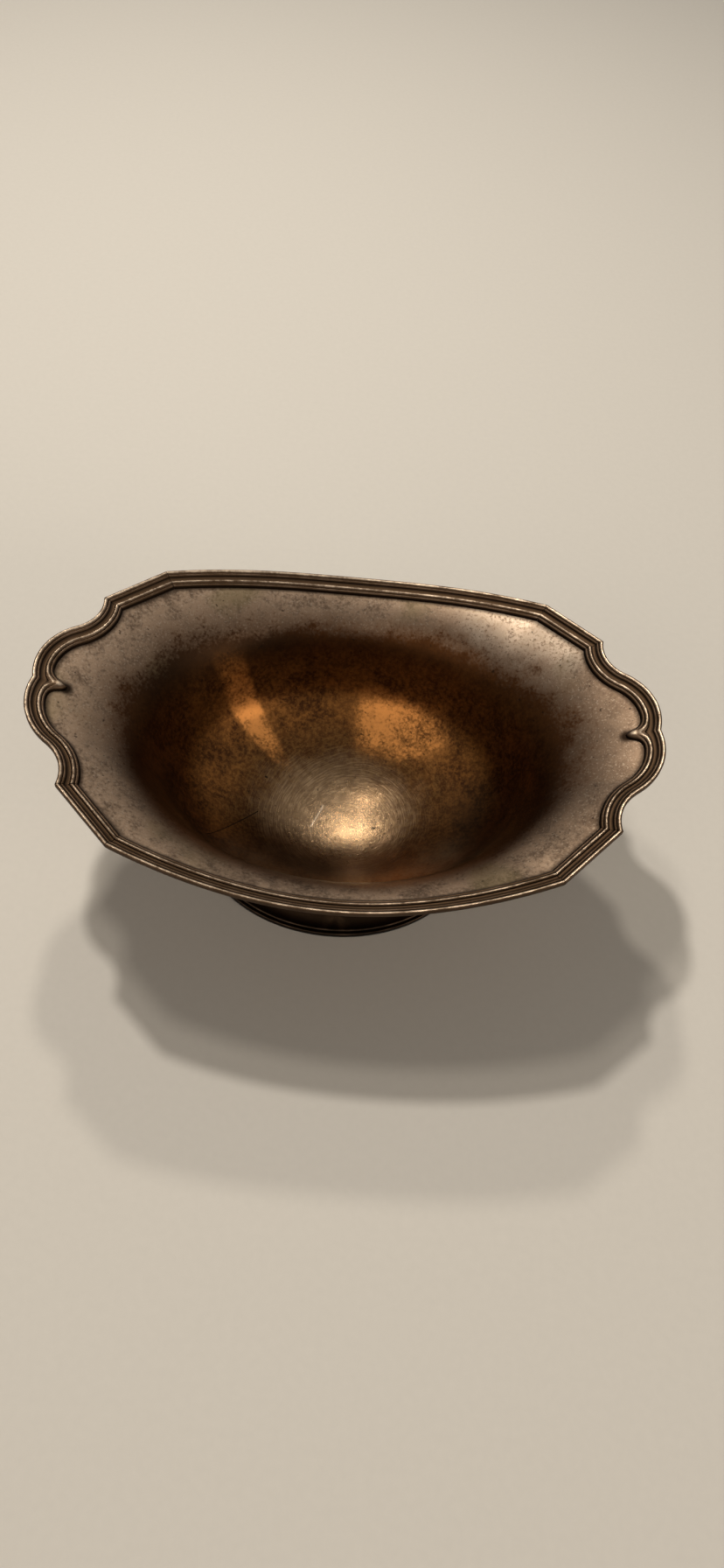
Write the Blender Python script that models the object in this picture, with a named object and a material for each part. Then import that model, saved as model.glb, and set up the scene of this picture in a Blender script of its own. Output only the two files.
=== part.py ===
"""Oval footed bowl in worn silver plate, put together as the real one is.

A bowl body is pressed from sheet. A reeded mount is soldered round its rim in ten mitred
lengths, and curls into a point at a notch in each end. A pressed foot skirt is soldered
under the body, and a base wire under the skirt's edge is what stands on the table.
Nothing on the bowl moves.

Metres, +Z up. The origin is on the table under the middle of the bowl, +X runs along the
bowl and +Y across it. Half sizes are worked out from the full sizes below.
"""

import math

import bmesh
import bpy
from mathutils import Vector

# The rim, measured at the outer edge and the crest of its mount
LENGTH = 0.3048  # over the lobes at the two ends
WIDTH = 0.2094  # over the middles of the two long sides
END_HEIGHT = 0.1177  # table to the rim's crest at the notches
SIDE_HEIGHT = 0.0998  # table to the rim's crest at the middles of the sides
SADDLE_BEND = 0.055  # distance from the middle in which the dip of a side turns into a slope
CORNER_BACK = 0.0508  # from the end of the rim back to where a long side meets its corner
CORNER_IN = 0.0189  # from the side of the rim in to the same place
STEP_BACK = 0.0238  # from the end of the rim back to where the straight corner ends
STEP_IN = 0.0460  # from the side of the rim in to the same place
HOLLOW_RADIUS = 0.022  # the hollow between the step and a lobe
LOBE_RADIUS = 0.0334
LOBE_Y = 0.0088  # from the long axis to a lobe's widest point

# The mount soldered on the rim
MOUNT_WIDTH = 0.0093
LIP_WIDTH = 0.0008  # what hangs over the edge of the body
REED_HEIGHT = 0.0016  # crest of the outer reed above the body
CREST_PLACE = 0.14  # share of the mount's width from its outer edge to that crest
FLANGE_SLOPE = 0.40  # rise of the rim over its run outwards
POINT_REACH = 0.0059  # how far the curled point passes the mount's inner edge
POINT_FROM = 0.0030  # inset from which the reeds curl in at the notch
POINT_WIDTH = 0.0075  # spread of the curled reeds before they round off to meet
CURL_FROM = 0.70  # share of a lobe after which its inner reeds curl in
CURL_LEAVE = 0.75  # share of the way to the long axis that a reed starts out straight
CURL_ARRIVE = 0.30  # share of the point's reach over which a reed rounds off to its tip
CURL_GRADE = 1.5  # how much later the outer reeds end than the inmost one
CURL_OUTER = 0.5  # share of the curling reeds, from outside, that curl only in part

# The body
SHEET = 0.0010
FLANGE_LENGTH = 0.236
FLANGE_WIDTH = 0.162
NOTCH_DIP = 0.25  # fall of the body beside a notch over the notch's depth in plan
SHOULDER_LENGTH = 0.196
SHOULDER_WIDTH = 0.146
SHOULDER_END_HEIGHT = 0.084
SHOULDER_SIDE_HEIGHT = 0.074
WALL_LENGTH = 0.172
WALL_WIDTH = 0.136
WALL_HEIGHT = 0.044
FLOOR_LENGTH = 0.116
FLOOR_WIDTH = 0.090
FLOOR_EDGE_HEIGHT = 0.032
DISH_LENGTH = 0.050  # the middle of the floor, which is rounder than the rest
DISH_WIDTH = 0.048
FLOOR_HEIGHT = 0.0135  # table to the middle of the bowl's floor, which is its lowest point

# The foot
FOOT_LENGTH = 0.1532
FOOT_WIDTH = 0.1278
SEAT_LENGTH = 0.118  # the skirt's top, where it meets the body
WIRE_WIDTH = 0.0046
WIRE_HEIGHT = 0.0030
WIRE_ROUND = 0.0008
LEDGE = 0.0018  # width of the base wire that shows outside the skirt

# Fits and fineness
GAP = 0.0003  # solder gap between seated pieces
SIDE_STEPS = 8
CORNER_STEPS = 3
HOLLOW_STEPS = 5
LOBE_STEPS = 8
POINT_STEPS = 6
WELL_STEPS = 11
FOOT_STEPS = 64
SKIRT_STEPS = 6
ROUND_STEPS = 3
HALVINGS = 40  # of the search for the place where the skirt meets the body
SLOPE_STEP = 0.001  # share of the body's section over which its slope is taken
SHARP_ANGLE = math.radians(40)

# The mount's section: share of its width from the outer edge, share of the reed's height
REEDS = (
    (0.00, 0.35),
    (0.03, 0.70),
    (0.08, 0.92),
    (CREST_PLACE, 1.00),
    (0.20, 0.88),
    (0.235, 0.58),
    (0.265, 0.62),
    (0.315, 0.90),
    (0.365, 0.66),
    (0.42, 0.42),
    (0.50, 0.32),
    (0.58, 0.42),
    (0.635, 0.72),
    (0.715, 1.08),
    (0.785, 0.82),
    (0.82, 0.66),
    (0.87, 0.84),
    (0.93, 0.70),
    (1.00, 0.30),
)

SILVER = ("worn_silver_plate", (0.23, 0.17, 0.12), 0.34)
COPPER = ("tarnished_well", (0.20, 0.11, 0.05), 0.30)
DARK = ("blackened_plate", (0.07, 0.05, 0.045), 0.42)


def clear_scene():
    for item in list(bpy.data.objects):
        bpy.data.objects.remove(item, do_unlink=True)


def metal(finish):
    """The Principled material of one finish, made once."""
    name, colour, roughness = finish
    if name in bpy.data.materials:
        return bpy.data.materials[name]
    material = bpy.data.materials.new(name)
    material.use_nodes = True
    shader = material.node_tree.nodes["Principled BSDF"]
    shader.inputs["Base Color"].default_value = (*colour, 1.0)
    shader.inputs["Roughness"].default_value = roughness
    shader.inputs["Metallic"].default_value = 1.0
    return material


def add_object(name, mesh, finish):
    mesh.materials.append(metal(finish))
    mesh.shade_smooth()
    mesh.set_sharp_from_angle(angle=SHARP_ANGLE)
    item = bpy.data.objects.new(name, mesh)
    bpy.context.collection.objects.link(item)
    return item


def add_sheet(item):
    """Gives an open surface the thickness of the sheet, on its back."""
    solidify = item.modifiers.new("sheet", "SOLIDIFY")
    solidify.thickness = SHEET
    solidify.offset = -1
    solidify.use_even_offset = True
    solidify.use_quality_normals = True


def loft(name, loops, closed_loops, closed_path, middle=None):
    """A mesh through a row of loops of points. Open rows of closed loops get end caps.

    Open loops that run inwards face up when they follow each other clockwise, and so do
    loops that run outwards counterclockwise. A middle point closes their ends with a fan.
    """
    shape = bmesh.new()
    rows = [[shape.verts.new(point) for point in loop] for loop in loops]
    count = len(loops[0])
    pairs = list(zip(rows, rows[1:]))
    if closed_path:
        pairs.append((rows[-1], rows[0]))
    for near, far in pairs:
        for here in range(count if closed_loops else count - 1):
            after = (here + 1) % count
            shape.faces.new((near[here], near[after], far[after], far[here]))
    if closed_loops and not closed_path:
        shape.faces.new(rows[0])
        shape.faces.new(rows[-1])
    if middle is not None:
        centre = shape.verts.new(middle)
        for near, far in pairs:
            shape.faces.new((near[-1], centre, far[-1]))
    if closed_loops:
        bmesh.ops.recalc_face_normals(shape, faces=shape.faces)
    mesh = bpy.data.meshes.new(name)
    shape.to_mesh(mesh)
    shape.free()
    return mesh


# The rim's outline ---------------------------------------------------------------------

CORNER = Vector((LENGTH / 2 - CORNER_BACK, WIDTH / 2 - CORNER_IN))
STEP = Vector((LENGTH / 2 - STEP_BACK, WIDTH / 2 - STEP_IN))
CORNER_RUN = (STEP - CORNER).normalized()
CORNER_INWARD = Vector((CORNER_RUN.y, -CORNER_RUN.x))
SIDE_RADIUS = (CORNER.x**2 + CORNER_IN**2) / (2 * CORNER_IN)
SIDE_CENTRE = Vector((0, WIDTH / 2 - SIDE_RADIUS))
LOBE_CENTRE = Vector((LENGTH / 2 - LOBE_RADIUS, LOBE_Y))


def hollow_centre():
    """Centre of the hollow, which passes the step and runs smoothly into the lobe."""
    across = STEP - LOBE_CENTRE
    reach = LOBE_RADIUS + HOLLOW_RADIUS
    along = (reach**2 - HOLLOW_RADIUS**2 + across.length_squared) / (2 * across.length)
    aside = math.sqrt(reach**2 - along**2)
    forward = across.normalized()
    return LOBE_CENTRE + forward * along + Vector((forward.y, -forward.x)) * aside


HOLLOW_CENTRE = hollow_centre()


def on_corner_line(centre, radius, inset, near):
    """Where the inset corner line crosses a circle, at the crossing nearest to a point."""
    start = CORNER + CORNER_INWARD * inset - centre
    middle = -start.dot(CORNER_RUN)
    half = math.sqrt(middle**2 - start.length_squared + radius**2)
    crossings = [centre + start + CORNER_RUN * (middle + side * half) for side in (-1, 1)]
    return min(crossings, key=lambda point: (point - near).length)


def rim_run(run, inset, notch_y):
    """Start, end and arc centre of one run of a quarter of the rim."""
    corner = on_corner_line(SIDE_CENTRE, SIDE_RADIUS - inset, inset, CORNER)
    step = on_corner_line(HOLLOW_CENTRE, HOLLOW_RADIUS + inset, inset, STEP)
    toward_hollow = (HOLLOW_CENTRE - LOBE_CENTRE).normalized()
    bend = LOBE_CENTRE + toward_hollow * (LOBE_RADIUS - inset)
    notch_reach = math.sqrt((LOBE_RADIUS - inset) ** 2 - (LOBE_Y - notch_y) ** 2)
    notch = Vector((LOBE_CENTRE.x + notch_reach, notch_y))
    return {
        "side": (Vector((0, WIDTH / 2 - inset)), corner, SIDE_CENTRE),
        "corner": (corner, step, None),
        "hollow": (step, bend, HOLLOW_CENTRE),
        "lobe": (bend, notch, LOBE_CENTRE),
    }[run]


def rim_point(run, share, inset, notch_y=0.0):
    """Plan point at a share of one run, inset from the rim's outer edge."""
    start, end, centre = rim_run(run, inset, notch_y)
    if centre is None:
        return start.lerp(end, share)
    first = math.atan2(*(start - centre).yx)
    turn = math.remainder(math.atan2(*(end - centre).yx) - first, 2 * math.pi)
    angle = first + turn * share
    radius = (start - centre).length
    return centre + Vector((math.cos(angle), math.sin(angle))) * radius


def edge_height(x):
    """Height of the body's top face at the rim's edge: low at the sides, high at the ends."""

    def saddle(distance):
        return math.hypot(1, distance / SADDLE_BEND) - 1

    rise = (END_HEIGHT - SIDE_HEIGHT) * saddle(x) / saddle(rim_point("lobe", 1, 0).x)
    return SIDE_HEIGHT + rise - REED_HEIGHT + FLANGE_SLOPE * MOUNT_WIDTH * CREST_PLACE


def mirrored(point, side_x, side_y):
    return Vector((point[0] * side_x, point[1] * side_y, point[2]))


# The mount -----------------------------------------------------------------------------


def curled_point(share, inset):
    """Plan point of a reed on a lobe: at the notch the inner reeds bend in to a point."""
    plain = rim_point("lobe", share, inset, GAP / 2)
    bend = (inset - POINT_FROM) / (MOUNT_WIDTH - POINT_FROM)
    if share <= CURL_FROM or bend <= 0:
        return plain
    start = rim_point("lobe", CURL_FROM, inset, GAP / 2)
    tip = rim_point("lobe", 1, inset, GAP / 2) - Vector((POINT_REACH * bend**CURL_GRADE, 0))
    leave = start - Vector((0, CURL_LEAVE * start.y))
    arrive = tip + Vector((CURL_ARRIVE * POINT_REACH, POINT_WIDTH / 2)) * bend
    along = (share - CURL_FROM) / (1 - CURL_FROM)
    back = 1 - along
    curl = (
        start * back**3
        + leave * (3 * back**2 * along)
        + arrive * (3 * back * along**2)
        + tip * along**3
    )
    return plain.lerp(curl, min(1, bend / CURL_OUTER))


def mount_section(run, share):
    """The closed loop of the mount's section at one place, from its lip over the reeds."""
    edge = rim_point(run, share, 0, GAP / 2)
    rim_height = edge_height(edge.x)

    def place(inset, height):
        point = rim_point(run, share, inset, GAP / 2)
        depth = inset
        if run == "lobe":
            point = curled_point(share, inset)
            depth = LOBE_RADIUS - (point - LOBE_CENTRE).length
        return Vector((*point, rim_height - FLANGE_SLOPE * depth + height))

    underside = -SHEET * math.hypot(1, FLANGE_SLOPE)
    loop = [place(LIP_WIDTH, GAP), place(LIP_WIDTH, underside), place(0, underside)]
    loop += [place(MOUNT_WIDTH * width, REED_HEIGHT * height) for width, height in REEDS]
    loop.append(place(MOUNT_WIDTH, GAP))
    return loop


def run_length(run):
    start, end, _ = rim_run(run, 0, 0)
    return (end - start).length


def shares(run, steps, gap_at_start, gap_at_end):
    """Evenly spaced shares of a run, held back by half a solder gap at a mitre."""
    setback = GAP / 2 / run_length(run)
    first = setback if gap_at_start else 0
    last = 1 - setback if gap_at_end else 1
    return [first + (last - first) * step / steps for step in range(steps + 1)]


def mount_side(side_y):
    """One long length, from corner to corner."""
    half = [mount_section("side", share) for share in shares("side", SIDE_STEPS, False, True)]
    left = [[mirrored(point, -1, side_y) for point in loop] for loop in reversed(half[1:])]
    right = [[mirrored(point, 1, side_y) for point in loop] for loop in half]
    return loft("mount_side", left + right, True, False)


def mount_corner(side_x, side_y):
    """One short straight length between two mitres."""
    places = shares("corner", CORNER_STEPS, True, True)
    loops = [mount_section("corner", share) for share in places]
    loops = [[mirrored(point, side_x, side_y) for point in loop] for loop in loops]
    return loft("mount_corner", loops, True, False)


def mount_end(side_x, side_y):
    """Half of an end: the hollow, the lobe, and half of the point at the notch."""
    hollow = shares("hollow", HOLLOW_STEPS, True, False)
    lobe = [CURL_FROM * step / LOBE_STEPS for step in range(LOBE_STEPS)]
    lobe += [CURL_FROM + (1 - CURL_FROM) * step / POINT_STEPS for step in range(POINT_STEPS + 1)]
    loops = [mount_section("hollow", share) for share in hollow[:-1]]
    loops += [mount_section("lobe", share) for share in lobe]
    loops = [[mirrored(point, side_x, side_y) for point in loop] for loop in loops]
    return loft("mount_end", loops, True, False)


# The body ------------------------------------------------------------------------------

EDGE_INSET = LIP_WIDTH + GAP + SHEET * FLANGE_SLOPE  # clears the mount's lip


def spline_weights(share, count):
    """Weights of a clamped cubic B-spline's control points at a share of it, short of 1."""
    spans = count - 3
    knots = [0] * 3 + list(range(spans + 1)) + [spans] * 3
    place = share * spans
    weights = [1.0 if low <= place < high else 0.0 for low, high in zip(knots, knots[1:])]
    for degree in (1, 2, 3):
        for index in range(len(weights) - degree):
            low, high = knots[index], knots[index + degree]
            next_low, next_high = knots[index + 1], knots[index + degree + 1]
            fall = (place - low) / (high - low) if high > low else 0
            rise = (next_high - place) / (next_high - next_low) if next_high > next_low else 0
            weights[index] = fall * weights[index] + rise * weights[index + 1]
    return weights[:count]


def oval(length, width, turn, height):
    return Vector((length / 2 * math.cos(turn), width / 2 * math.sin(turn), height))


def flange_height(end_share):
    """Height of the ring inside the flange, which meets the flange's slope at ends and sides."""
    notch_x = rim_point("lobe", 1, 0).x
    end = edge_height(notch_x) - FLANGE_SLOPE * (notch_x - FLANGE_LENGTH / 2)
    side = edge_height(0) - FLANGE_SLOPE * (WIDTH - FLANGE_WIDTH) / 2
    return side + (end - side) * end_share


def well_controls(rim, turn):
    """Control points of the body's section, from the mount's inner edge to the middle."""
    end_share = math.cos(turn) ** 2
    shoulder_rise = (SHOULDER_END_HEIGHT - SHOULDER_SIDE_HEIGHT) * end_share
    return [
        rim,
        oval(FLANGE_LENGTH, FLANGE_WIDTH, turn, flange_height(end_share)),
        oval(SHOULDER_LENGTH, SHOULDER_WIDTH, turn, SHOULDER_SIDE_HEIGHT + shoulder_rise),
        oval(WALL_LENGTH, WALL_WIDTH, turn, WALL_HEIGHT),
        oval(FLOOR_LENGTH, FLOOR_WIDTH, turn, FLOOR_EDGE_HEIGHT),
        oval(DISH_LENGTH, DISH_WIDTH, turn, FLOOR_HEIGHT),
        Vector((0, 0, FLOOR_HEIGHT)),
    ]


def well_point(controls, share):
    weights = spline_weights(share, len(controls))
    return sum((point * weight for point, weight in zip(controls, weights)), Vector((0, 0, 0)))


def quarter_stations():
    """Places round one quarter of the rim, from the middle of a side to the notch."""
    steps = {"side": SIDE_STEPS, "corner": CORNER_STEPS, "hollow": HOLLOW_STEPS, "lobe": LOBE_STEPS}
    stations = []
    for run, count in steps.items():
        stations += [(run, share) for share in shares(run, count, False, False)[:-1]]
    return stations + [("lobe", 1.0)]


def notch_dip(run, share):
    """How far the body dips under the mount between two lobes, so that its flange is smooth."""
    outer = rim_point(run, share, 0)
    beside_notch = run == "lobe" and outer.y < LOBE_Y
    return NOTCH_DIP * (LENGTH / 2 - outer.x) if beside_notch else 0


def body_section(run, share):
    """Points of the body's top face at one place, from the edge to just short of the middle."""
    height = edge_height(rim_point(run, share, 0).x) - notch_dip(run, share)
    edge = rim_point(run, share, EDGE_INSET)
    inner = rim_point(run, share, MOUNT_WIDTH)
    rim = Vector((*inner, height - FLANGE_SLOPE * MOUNT_WIDTH))
    turn = math.atan2(rim.y / (WIDTH / 2 - MOUNT_WIDTH), rim.x / (LENGTH / 2 - MOUNT_WIDTH))
    controls = well_controls(rim, turn)
    section = [Vector((*edge, height - FLANGE_SLOPE * EDGE_INSET))]
    section += [well_point(controls, step / WELL_STEPS) for step in range(WELL_STEPS)]
    return section


def bowl_body():
    quarter = [body_section(run, share) for run, share in quarter_stations()]
    around = []
    for side_x, side_y in ((1, 1), (1, -1), (-1, -1), (-1, 1)):
        sections = [[mirrored(point, side_x, side_y) for point in section] for section in quarter]
        if side_x != side_y:
            sections.reverse()
        around += sections[:-1]
    return loft("bowl_body", around, False, True, (0, 0, FLOOR_HEIGHT))


# The foot ------------------------------------------------------------------------------


def floor_ring(share):
    """Half length, half width and height of a ring low on the body.

    The rim has no weight there, so any rim point serves.
    """
    rim = Vector((0, 0, END_HEIGHT))
    end, side = (well_point(well_controls(rim, turn), share) for turn in (0, math.pi / 2))
    return Vector((end.x, side.y, end.z))


def seat_ring():
    """Length, width and height of the skirt's top, one solder gap under the body."""
    low, high = 0.0, 1.0
    for _ in range(HALVINGS):
        middle = (low + high) / 2
        if floor_ring(middle).x > SEAT_LENGTH / 2 - SHEET:
            low = middle
        else:
            high = middle
    ring = floor_ring(low)
    nudge = floor_ring(low + SLOPE_STEP)
    slope = (ring.z - nudge.z) / (ring.x - nudge.x)
    underside = ring.z - SHEET * math.hypot(1, slope)
    return SEAT_LENGTH, 2 * (ring.y + SHEET), underside - GAP


def oval_loops(rows):
    """The rows of (length, width, height), as one loop of points at each place round the foot."""
    turns = [2 * math.pi * step / FOOT_STEPS for step in range(FOOT_STEPS)]
    return [[oval(length, width, turn, height) for length, width, height in rows] for turn in turns]


def foot_skirt():
    """The hollow sweep from the base wire in and up to the body."""
    seat_length, seat_width, top = seat_ring()
    foot_length = FOOT_LENGTH - 2 * LEDGE
    foot_width = FOOT_WIDTH - 2 * LEDGE
    bottom = WIRE_HEIGHT + GAP + SHEET
    rows = []
    for step in range(SKIRT_STEPS, -1, -1):
        sweep = math.pi / 2 * step / SKIRT_STEPS
        inward = math.sin(sweep)
        length = foot_length + (seat_length - foot_length) * inward
        width = foot_width + (seat_width - foot_width) * inward
        height = bottom + (top - bottom) * (1 - math.cos(sweep))
        rows.append((length, width, height))
    return loft("foot_skirt", oval_loops(rows), False, True)


def foot_base_wire():
    """The ring that stands on the table, with a rounded upper edge."""
    profile = [(WIRE_WIDTH, WIRE_HEIGHT), (WIRE_WIDTH, 0), (0, 0)]
    for step in range(ROUND_STEPS + 1):
        turn = math.pi / 2 * step / ROUND_STEPS
        inset = WIRE_ROUND * (1 - math.cos(turn))
        profile.append((inset, WIRE_HEIGHT - WIRE_ROUND * (1 - math.sin(turn))))
    rows = [(FOOT_LENGTH - 2 * inset, FOOT_WIDTH - 2 * inset, z) for inset, z in profile]
    return loft("foot_base_wire", oval_loops(rows), True, True)


# The whole bowl ------------------------------------------------------------------------


def main():
    clear_scene()
    add_sheet(add_object("bowl_body", bowl_body(), COPPER))
    for depth, side_y in (("front", -1), ("back", 1)):
        add_object(f"rim_side_{depth}", mount_side(side_y), SILVER)
        for hand, side_x in (("left", -1), ("right", 1)):
            place = f"{depth}_{hand}"
            add_object(f"rim_corner_{place}", mount_corner(side_x, side_y), SILVER)
            add_object(f"rim_scroll_{place}", mount_end(side_x, side_y), SILVER)
    add_sheet(add_object("foot_skirt", foot_skirt(), DARK))
    add_object("foot_base_wire", foot_base_wire(), DARK)


main()
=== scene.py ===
"""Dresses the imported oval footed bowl: its reeded rim, body and foot, their tarnish, a studio.

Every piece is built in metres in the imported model's own frame: the origin is on the table under
the middle of the bowl, +X runs along it, +Y across it and +Z up.
"""

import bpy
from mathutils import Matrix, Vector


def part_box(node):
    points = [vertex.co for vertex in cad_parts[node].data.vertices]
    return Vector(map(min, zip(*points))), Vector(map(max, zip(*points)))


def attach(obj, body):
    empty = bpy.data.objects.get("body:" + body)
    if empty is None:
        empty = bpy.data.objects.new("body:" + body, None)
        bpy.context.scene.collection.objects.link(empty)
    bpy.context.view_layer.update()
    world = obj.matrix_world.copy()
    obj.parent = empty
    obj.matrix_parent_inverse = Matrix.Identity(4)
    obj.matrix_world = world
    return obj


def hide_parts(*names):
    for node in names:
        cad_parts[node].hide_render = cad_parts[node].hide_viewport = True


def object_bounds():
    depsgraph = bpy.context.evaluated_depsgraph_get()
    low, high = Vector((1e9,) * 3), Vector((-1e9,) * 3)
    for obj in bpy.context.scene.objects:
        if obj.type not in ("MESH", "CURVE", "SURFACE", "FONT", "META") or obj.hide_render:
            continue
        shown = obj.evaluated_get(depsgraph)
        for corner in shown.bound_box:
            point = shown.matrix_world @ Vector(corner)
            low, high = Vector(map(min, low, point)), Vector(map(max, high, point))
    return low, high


bl_info = {
    "name": "Oval footed bowl in worn silver plate",
    "version": (1, 0, 0),
    "blender": (4, 5, 0),
    "location": "3D View > Sidebar > Bowl",
    "description": "Builds the bowl's rim, body and foot over the packed model",
    "category": "Add Mesh",
}

from math import atan2, cos, hypot, pi, radians, remainder, sin, sqrt

import bmesh
import bpy
from bpy.props import FloatProperty, FloatVectorProperty, IntProperty, PointerProperty
from bpy.types import Operator, Panel, PropertyGroup
from mathutils import Matrix, Vector

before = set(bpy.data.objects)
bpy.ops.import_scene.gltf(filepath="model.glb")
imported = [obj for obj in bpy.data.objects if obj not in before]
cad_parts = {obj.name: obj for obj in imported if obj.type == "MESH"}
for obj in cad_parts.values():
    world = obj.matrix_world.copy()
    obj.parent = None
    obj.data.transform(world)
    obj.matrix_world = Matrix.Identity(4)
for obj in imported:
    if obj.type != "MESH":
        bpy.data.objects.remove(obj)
CAD_LOW, CAD_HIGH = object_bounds()
WIRE_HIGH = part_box("foot_base_wire")[1]
SIDES = (("front", -1), ("back", 1))
HANDS = (("left", -1), ("right", 1))
GAP = 0.0003  # solder gap between seated pieces


def top_ring(node):
    """Length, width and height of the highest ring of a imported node."""
    points = [vertex.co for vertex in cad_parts[node].data.vertices]
    top = max(point.z for point in points)
    ring = [point for point in points if point.z > top - GAP]
    return Vector((2 * max(point.x for point in ring), 2 * max(point.y for point in ring), top))


SEAT = top_ring("foot_skirt")


# ---- Sizes and colours ----


def length(name, description, default):
    """A length in metres that can be changed in the sidebar."""
    return FloatProperty(
        name=name, description=description, default=default, min=0, unit="LENGTH", precision=4
    )


def share(name, description, default):
    """A plain share or ratio."""
    return FloatProperty(name=name, description=description, default=default, min=0, precision=3)


def colour(name, description, default):
    """A colour, in linear values."""
    return FloatVectorProperty(
        name=name, description=description, default=default, size=3, min=0, max=1, subtype="COLOR"
    )


def faces(name, description, default, least):
    """A number of faces along one part."""
    return IntProperty(name=name, description=description, default=default, min=least)


class RimSizes(PropertyGroup):
    """Plan and heights of the rim, at the outer edge and the crest of its mount."""

    length: length("Length", "Over the lobes at the two ends", 2 * CAD_HIGH.x)
    width: length("Width", "Over the middles of the two long sides", 2 * CAD_HIGH.y)
    end_height: length("End height", "Table to the outer reed's crest at the notches", 0.1177)
    side_height: length("Side height", "Table to the crest at the middles of the sides", 0.0998)
    saddle_bend: length("Saddle bend", "Distance over which a side's dip turns into a slope", 0.055)
    corner_back: length("Corner back", "From the end back to where a long side ends", 0.0508)
    corner_in: length("Corner in", "From the side in to where a long side ends", 0.0189)
    step_back: length("Step back", "From the end back to where a hollow begins", 0.0238)
    step_in: length("Step in", "From the side in to where a hollow begins", 0.0460)
    hollow_radius: length("Hollow radius", "Of the hollow between a corner and a lobe", 0.022)
    lobe_radius: length("Lobe radius", "Of each of the two lobes at an end", 0.0334)
    lobe_y: length("Lobe place", "From the long axis to a lobe's widest point", 0.0088)


class MountSizes(PropertyGroup):
    """Section of the reeded mount, and the point it curls into at a notch."""

    width: length("Width", "From the outer edge to the inner one", 0.0093)
    lip: length("Lip", "Thickness of what hangs over the body's edge", 0.0008)
    reed: length("Reed height", "Crest of the outer reed above the body", 0.0016)
    crest: share("Crest", "Share of the width at which the outer reed has its crest", 0.14)
    slope: share("Slope", "Rise of the rim over its run outwards", 0.40)
    point_reach: length("Point reach", "How far the curled point passes the inner edge", 0.0059)
    point_from: length("Point from", "Inset from which the reeds curl in at a notch", 0.0030)
    point_width: length("Point width", "Spread of the curled reeds before they meet", 0.0075)
    curl_from: share("Curl from", "Share of a lobe after which its reeds curl in", 0.70)


class BodySizes(PropertyGroup):
    """Rings that the body's section is drawn through."""

    sheet: length("Sheet", "Thickness of the metal", 0.0010)
    flange_length: length("Flange length", "Of the ring inside the flange", 0.236)
    flange_width: length("Flange width", "Of the ring inside the flange", 0.162)
    notch_dip: share("Notch dip", "Fall beside a notch over the notch's depth in plan", 0.25)
    shoulder_length: length("Shoulder length", "Of the ring where the well begins", 0.196)
    shoulder_width: length("Shoulder width", "Of the ring where the well begins", 0.146)
    shoulder_end: length("Shoulder end height", "Of that ring at the ends", 0.084)
    shoulder_side: length("Shoulder side height", "Of that ring at the sides", 0.074)
    wall_length: length("Wall length", "Of the ring half way down the well", 0.172)
    wall_width: length("Wall width", "Of the ring half way down the well", 0.136)
    wall_height: length("Wall height", "Table to that ring", 0.044)
    floor_length: length("Floor length", "Of the ring where the floor begins", 0.116)
    floor_width: length("Floor width", "Of the ring where the floor begins", 0.090)
    floor_edge: length("Floor edge height", "Table to that ring", 0.0320)
    dish_length: length("Dish length", "Of the rounder middle of the floor", 0.050)
    dish_width: length("Dish width", "Of the rounder middle of the floor", 0.048)
    floor_height: length("Floor height", "Table to the middle of the floor", 0.0135)


class FootSizes(PropertyGroup):
    """The skirt and the wire that the bowl stands on."""

    length: length("Length", "Over the base wire", 2 * WIRE_HIGH.x)
    width: length("Width", "Over the base wire", 2 * WIRE_HIGH.y)
    wire_width: length("Wire width", "Of the face that rests on the table", 0.0046)
    wire_height: length("Wire height", "Of the base wire", WIRE_HIGH.z)
    wire_round: length("Wire round", "Radius of its upper edge", 0.0008)
    ledge: length("Ledge", "Width of the wire that shows outside the skirt", 0.0018)
    seat_length: length("Seat length", "Of the skirt's top, under the body", SEAT.x)
    seat_width: length("Seat width", "Of the skirt's top, under the body", SEAT.y)
    seat_height: length("Seat height", "Table to the skirt's top", SEAT.z)


class Finish(PropertyGroup):
    """Colours of the worn plate, written in linear values."""

    silver: colour("Silver", "Plate rubbed bright", (0.40, 0.32, 0.24))
    reeds: colour("Rubbed reeds", "Crests of the mount's reeds", (0.46, 0.355, 0.255))
    worn: colour("Worn plate", "Lighter patches of the flange", (0.252, 0.174, 0.116))
    tarnish: colour("Tarnish", "Darker patches of the flange", (0.092, 0.060, 0.039))
    olive: colour("Olive tarnish", "Greenish film on the flange", (0.13, 0.098, 0.045))
    # Also paints the sheen round the floor's highlight and the reflection on the front wall.
    gold: colour("Rubbed floor", "Plate rubbed pale on the well's floor", (0.26, 0.175, 0.10))
    bronze: colour("Floor tarnish", "Olive-brown film on the well's floor", (0.085, 0.045, 0.015))
    # Also paints the coppery reflections of light at the streak and patch in the well.
    copper: colour("Copper", "Copper showing through in the well", (0.42, 0.17, 0.045))
    brown: colour("Brown", "Brown tarnish in the well", (0.155, 0.063, 0.016))
    umber: colour("Umber", "Dark specks and clouds in the well", (0.036, 0.014, 0.005))
    soot: colour("Soot brown", "Dull tarnish in the cove of the mount", (0.048, 0.028, 0.015))
    # Also the painted shade: along the mount's inner edge, at the notches, on the inner step, at
    # two wall spots and on the foot.
    black: colour("Black", "Dirt and sulphide in grooves", (0.012, 0.007, 0.004))


class Fineness(PropertyGroup):
    """Numbers of faces along each part of the bowl."""

    side: faces("Side", "Steps along half a long side", 44, 2)
    corner: faces("Corner", "Steps along a corner", 8, 1)
    hollow: faces("Hollow", "Steps along a hollow", 14, 2)
    lobe: faces("Lobe", "Steps along a lobe", 60, 2)
    well: faces("Well", "Steps down the body", 56, 4)
    foot: faces("Foot", "Steps round the foot", 160, 8)
    skirt: faces("Skirt", "Steps up the skirt", 24, 4)
    reed: faces("Reed", "Steps over each reed", 8, 3)


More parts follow.
